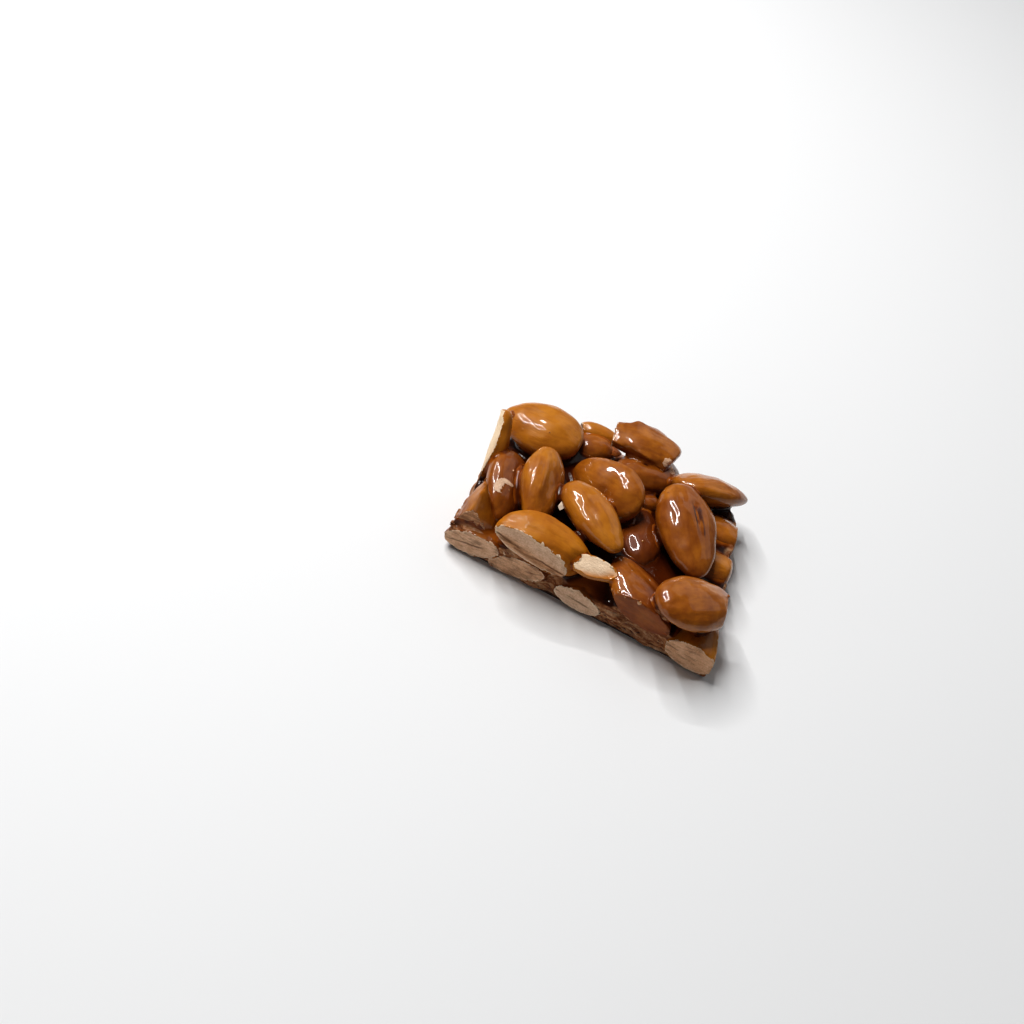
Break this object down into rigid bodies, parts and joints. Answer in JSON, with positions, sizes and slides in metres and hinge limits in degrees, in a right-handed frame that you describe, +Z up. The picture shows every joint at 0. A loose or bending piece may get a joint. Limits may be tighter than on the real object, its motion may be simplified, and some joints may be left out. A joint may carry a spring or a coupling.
{
  "type": "piece of almond nougat",
  "caption": "Knife-cut piece of brown almond nougat: whole roasted almonds set in glossy amber caramel, cut open along the front and the ends, flat underneath.",
  "frame": {"origin": "under the middle of the piece's box, on the flat underside", "axes": "+X to the right along the cut front, +Y to the back, +Z up"},
  "size_m": [0.075, 0.056, 0.023],
  "materials": {
    "glazed_almond": "smooth roasted almond under a thin glassy coat of amber caramel, its cut faces matt and grey-beige",
    "broken_almond": "broken piece of roasted almond, glazed skin outside and pale dry flesh at the break",
    "caramel": "hard glassy sugar caramel, dark red-brown where it is deep and amber where it is thin"
  },
  "bodies": {
    "root": {"almond_back_gap": "glazed_almond", "almond_back_left": "glazed_almond", "almond_back_middle": "glazed_almond", "almond_back_right": "glazed_almond", "almond_cut_front_1": "glazed_almond", "almond_cut_front_2": "glazed_almond", "almond_cut_front_3": "glazed_almond", "almond_cut_front_4": "glazed_almond", "almond_cut_left": "glazed_almond", "almond_cut_right_1": "glazed_almond", "almond_cut_right_2": "glazed_almond", "almond_front_left": "glazed_almond", "almond_front_right": "glazed_almond", "almond_left_shaded": "glazed_almond", "almond_left_upright": "glazed_almond", "almond_middle_broad": "glazed_almond", "almond_middle_crossing": "glazed_almond", "almond_middle_sunken": "glazed_almond", "almond_right_corner": "glazed_almond", "almond_right_scarred": "glazed_almond", "almond_under_back": "glazed_almond", "almond_under_corner": "glazed_almond", "almond_under_front": "glazed_almond", "almond_under_left": "glazed_almond", "almond_under_middle": "glazed_almond", "almond_under_right": "glazed_almond", "broken_end_standing": "broken_almond", "caramel": "caramel", "chip_middle": "broken_almond", "shell_back": "broken_almond", "sliver_back": "broken_almond", "sliver_front": "broken_almond", "splinter_standing": "broken_almond"}
  },
  "joints": []
}
